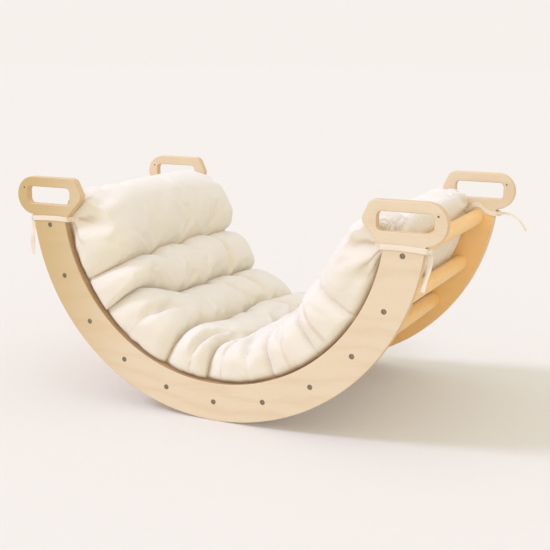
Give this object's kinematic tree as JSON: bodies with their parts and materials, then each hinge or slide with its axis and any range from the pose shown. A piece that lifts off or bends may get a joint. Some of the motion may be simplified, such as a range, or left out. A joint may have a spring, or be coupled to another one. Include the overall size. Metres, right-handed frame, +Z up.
{
  "type": "wooden arch rocker with cushion",
  "caption": "Curved plywood rocker: two arc side panels with hand grips, round rungs between them, and a tufted cushion tied in at its corners.",
  "frame": {"origin": "on the floor under the middle of the rocker: the bottom centre of the frame's bounding box, the tie tails left out", "axes": "+Z up; +X along the rocking direction, from the left grips to the right grips; +Y across, from the front panel to the rear one"},
  "size_m": [0.9874, 0.5492, 0.48],
  "materials": {
    "plywood": "satin",
    "rung_wood": "satin",
    "screw_zinc": "satin",
    "cushion_cotton": "matte",
    "cushion_fibre": "matte",
    "tie_cotton": "matte"
  },
  "bodies": {
    "root": {"side_panel_front": "plywood", "side_panel_rear": "plywood", "screws_front": "screw_zinc", "screws_rear": "screw_zinc", "rung_01": "rung_wood", "rung_02": "rung_wood", "rung_03": "rung_wood", "rung_04": "rung_wood", "rung_05": "rung_wood", "rung_06": "rung_wood", "rung_07": "rung_wood", "rung_08": "rung_wood", "rung_09": "rung_wood", "rung_10": "rung_wood", "rung_11": "rung_wood", "cushion_cover": "cushion_cotton", "cushion_filling": "cushion_fibre", "tie_strap_front_left": "tie_cotton", "tie_knot_front_left": "tie_cotton", "tie_tail_front_left": "tie_cotton", "tie_strap_front_right": "tie_cotton", "tie_knot_front_right": "tie_cotton", "tie_tail_front_right": "tie_cotton", "tie_strap_rear_left": "tie_cotton", "tie_knot_rear_left": "tie_cotton", "tie_tail_rear_left": "tie_cotton", "tie_strap_rear_right": "tie_cotton", "tie_knot_rear_right": "tie_cotton", "tie_tail_rear_right": "tie_cotton"}
  },
  "joints": []
}
